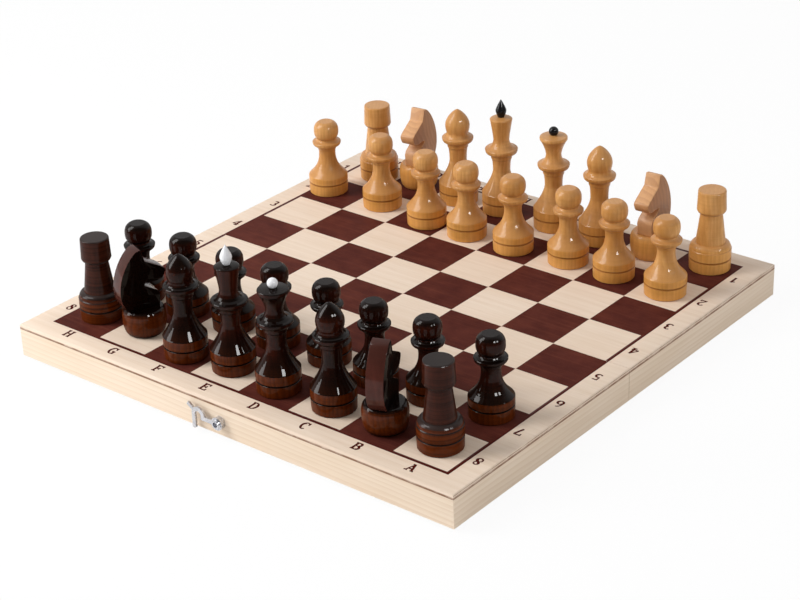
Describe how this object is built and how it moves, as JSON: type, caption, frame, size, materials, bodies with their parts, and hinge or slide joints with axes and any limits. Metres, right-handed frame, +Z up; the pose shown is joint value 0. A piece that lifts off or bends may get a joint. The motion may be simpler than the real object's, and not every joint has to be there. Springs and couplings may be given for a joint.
{
  "type": "folding chess set",
  "caption": "Folding wooden chess board, two hinged trays with a hook latch that shut into a box, set up with turned wooden chessmen that lift off.",
  "frame": {"origin": "on the table, under the middle of the open board, at the hinge barrels' undersides", "axes": "+X along the fold from the h file to the a file, +Y from the latch side (black) to the far side (white), +Z up"},
  "size_m": [0.29, 0.298, 0.0888],
  "materials": {
    "panel_birch": "satin varnish",
    "board_print": "satin screen print",
    "rail_pine": "satin varnish",
    "hinge_steel": "satin",
    "latch_steel": "satin nickel",
    "light_lacquer": "gloss lacquer",
    "dark_lacquer": "gloss lacquer",
    "knight_bare": "satin",
    "top_black": "gloss",
    "top_white": "gloss"
  },
  "bodies": {
    "near_half": {"near_panel": "panel_birch", "near_print": "board_print", "near_front_rail": "rail_pine", "near_fold_rail": "rail_pine", "near_left_rail": "rail_pine", "near_right_rail": "rail_pine", "near_hinge_leaves": "hinge_steel", "hinge_pins": "hinge_steel", "near_hinge_screws": "hinge_steel", "hook_rivet": "latch_steel"},
    "far_half": {"far_panel": "panel_birch", "far_print": "board_print", "far_back_rail": "rail_pine", "far_fold_rail": "rail_pine", "far_left_rail": "rail_pine", "far_right_rail": "rail_pine", "far_hinge_leaves": "hinge_steel", "far_hinge_screws": "hinge_steel", "catch_stud": "latch_steel"},
    "hook": {"hook": "latch_steel"},
    "white_pawn_h": {"white_pawn_h": "light_lacquer"},
    "white_pawn_g": {"white_pawn_g": "light_lacquer"},
    "white_pawn_f": {"white_pawn_f": "light_lacquer"},
    "white_pawn_e": {"white_pawn_e": "light_lacquer"},
    "white_pawn_d": {"white_pawn_d": "light_lacquer"},
    "white_pawn_c": {"white_pawn_c": "light_lacquer"},
    "white_pawn_b": {"white_pawn_b": "light_lacquer"},
    "white_pawn_a": {"white_pawn_a": "light_lacquer"},
    "white_rook_h": {"white_rook_h": "light_lacquer"},
    "white_rook_a": {"white_rook_a": "light_lacquer"},
    "white_knight_g": {"white_knight_foot_g": "light_lacquer", "white_knight_head_g": "knight_bare"},
    "white_knight_b": {"white_knight_foot_b": "light_lacquer", "white_knight_head_b": "knight_bare"},
    "white_bishop_f": {"white_bishop_f": "light_lacquer"},
    "white_bishop_c": {"white_bishop_c": "light_lacquer"},
    "white_queen": {"white_queen": "light_lacquer", "white_queen_ball": "top_black"},
    "white_king": {"white_king": "light_lacquer", "white_king_finial": "top_black"},
    "black_pawn_h": {"black_pawn_h": "dark_lacquer"},
    "black_pawn_g": {"black_pawn_g": "dark_lacquer"},
    "black_pawn_f": {"black_pawn_f": "dark_lacquer"},
    "black_pawn_e": {"black_pawn_e": "dark_lacquer"},
    "black_pawn_d": {"black_pawn_d": "dark_lacquer"},
    "black_pawn_c": {"black_pawn_c": "dark_lacquer"},
    "black_pawn_b": {"black_pawn_b": "dark_lacquer"},
    "black_pawn_a": {"black_pawn_a": "dark_lacquer"},
    "black_rook_h": {"black_rook_h": "dark_lacquer"},
    "black_rook_a": {"black_rook_a": "dark_lacquer"},
    "black_knight_g": {"black_knight_foot_g": "dark_lacquer", "black_knight_head_g": "dark_lacquer"},
    "black_knight_b": {"black_knight_foot_b": "dark_lacquer", "black_knight_head_b": "dark_lacquer"},
    "black_bishop_f": {"black_bishop_f": "dark_lacquer"},
    "black_bishop_c": {"black_bishop_c": "dark_lacquer"},
    "black_queen": {"black_queen": "dark_lacquer", "black_queen_ball": "top_white"},
    "black_king": {"black_king": "dark_lacquer", "black_king_finial": "top_white"}
  },
  "joints": [
    {"name": "board_fold", "type": "hinge", "parent": "near_half", "child": "far_half", "pos_m": [0, 0, 0.0011], "axis": [-1, 0, 0], "range_deg": [0, 180]},
    {"name": "hook_swing", "type": "hinge", "parent": "near_half", "child": "hook", "pos_m": [0, -0.1473, 0.00865], "axis": [0, -1, 0], "range_deg": [-180, 95]},
    {"name": "lift_white_pawn_h", "type": "slide", "parent": "far_half", "child": "white_pawn_h", "axis": [0, 0, 1], "range_m": [0, 0.08]},
    {"name": "lift_white_pawn_g", "type": "slide", "parent": "far_half", "child": "white_pawn_g", "axis": [0, 0, 1], "range_m": [0, 0.08]},
    {"name": "lift_white_pawn_f", "type": "slide", "parent": "far_half", "child": "white_pawn_f", "axis": [0, 0, 1], "range_m": [0, 0.08]},
    {"name": "lift_white_pawn_e", "type": "slide", "parent": "far_half", "child": "white_pawn_e", "axis": [0, 0, 1], "range_m": [0, 0.08]},
    {"name": "lift_white_pawn_d", "type": "slide", "parent": "far_half", "child": "white_pawn_d", "axis": [0, 0, 1], "range_m": [0, 0.08]},
    {"name": "lift_white_pawn_c", "type": "slide", "parent": "far_half", "child": "white_pawn_c", "axis": [0, 0, 1], "range_m": [0, 0.08]},
    {"name": "lift_white_pawn_b", "type": "slide", "parent": "far_half", "child": "white_pawn_b", "axis": [0, 0, 1], "range_m": [0, 0.08]},
    {"name": "lift_white_pawn_a", "type": "slide", "parent": "far_half", "child": "white_pawn_a", "axis": [0, 0, 1], "range_m": [0, 0.08]},
    {"name": "lift_white_rook_h", "type": "slide", "parent": "far_half", "child": "white_rook_h", "axis": [0, 0, 1], "range_m": [0, 0.08]},
    {"name": "lift_white_rook_a", "type": "slide", "parent": "far_half", "child": "white_rook_a", "axis": [0, 0, 1], "range_m": [0, 0.08]},
    {"name": "lift_white_knight_g", "type": "slide", "parent": "far_half", "child": "white_knight_g", "axis": [0, 0, 1], "range_m": [0, 0.08]},
    {"name": "lift_white_knight_b", "type": "slide", "parent": "far_half", "child": "white_knight_b", "axis": [0, 0, 1], "range_m": [0, 0.08]},
    {"name": "lift_white_bishop_f", "type": "slide", "parent": "far_half", "child": "white_bishop_f", "axis": [0, 0, 1], "range_m": [0, 0.08]},
    {"name": "lift_white_bishop_c", "type": "slide", "parent": "far_half", "child": "white_bishop_c", "axis": [0, 0, 1], "range_m": [0, 0.08]},
    {"name": "lift_white_queen", "type": "slide", "parent": "far_half", "child": "white_queen", "axis": [0, 0, 1], "range_m": [0, 0.08]},
    {"name": "lift_white_king", "type": "slide", "parent": "far_half", "child": "white_king", "axis": [0, 0, 1], "range_m": [0, 0.08]},
    {"name": "lift_black_pawn_h", "type": "slide", "parent": "near_half", "child": "black_pawn_h", "axis": [0, 0, 1], "range_m": [0, 0.08]},
    {"name": "lift_black_pawn_g", "type": "slide", "parent": "near_half", "child": "black_pawn_g", "axis": [0, 0, 1], "range_m": [0, 0.08]},
    {"name": "lift_black_pawn_f", "type": "slide", "parent": "near_half", "child": "black_pawn_f", "axis": [0, 0, 1], "range_m": [0, 0.08]},
    {"name": "lift_black_pawn_e", "type": "slide", "parent": "near_half", "child": "black_pawn_e", "axis": [0, 0, 1], "range_m": [0, 0.08]},
    {"name": "lift_black_pawn_d", "type": "slide", "parent": "near_half", "child": "black_pawn_d", "axis": [0, 0, 1], "range_m": [0, 0.08]},
    {"name": "lift_black_pawn_c", "type": "slide", "parent": "near_half", "child": "black_pawn_c", "axis": [0, 0, 1], "range_m": [0, 0.08]},
    {"name": "lift_black_pawn_b", "type": "slide", "parent": "near_half", "child": "black_pawn_b", "axis": [0, 0, 1], "range_m": [0, 0.08]},
    {"name": "lift_black_pawn_a", "type": "slide", "parent": "near_half", "child": "black_pawn_a", "axis": [0, 0, 1], "range_m": [0, 0.08]},
    {"name": "lift_black_rook_h", "type": "slide", "parent": "near_half", "child": "black_rook_h", "axis": [0, 0, 1], "range_m": [0, 0.08]},
    {"name": "lift_black_rook_a", "type": "slide", "parent": "near_half", "child": "black_rook_a", "axis": [0, 0, 1], "range_m": [0, 0.08]},
    {"name": "lift_black_knight_g", "type": "slide", "parent": "near_half", "child": "black_knight_g", "axis": [0, 0, 1], "range_m": [0, 0.08]},
    {"name": "lift_black_knight_b", "type": "slide", "parent": "near_half", "child": "black_knight_b", "axis": [0, 0, 1], "range_m": [0, 0.08]},
    {"name": "lift_black_bishop_f", "type": "slide", "parent": "near_half", "child": "black_bishop_f", "axis": [0, 0, 1], "range_m": [0, 0.08]},
    {"name": "lift_black_bishop_c", "type": "slide", "parent": "near_half", "child": "black_bishop_c", "axis": [0, 0, 1], "range_m": [0, 0.08]},
    {"name": "lift_black_queen", "type": "slide", "parent": "near_half", "child": "black_queen", "axis": [0, 0, 1], "range_m": [0, 0.08]},
    {"name": "lift_black_king", "type": "slide", "parent": "near_half", "child": "black_king", "axis": [0, 0, 1], "range_m": [0, 0.08]}
  ]
}
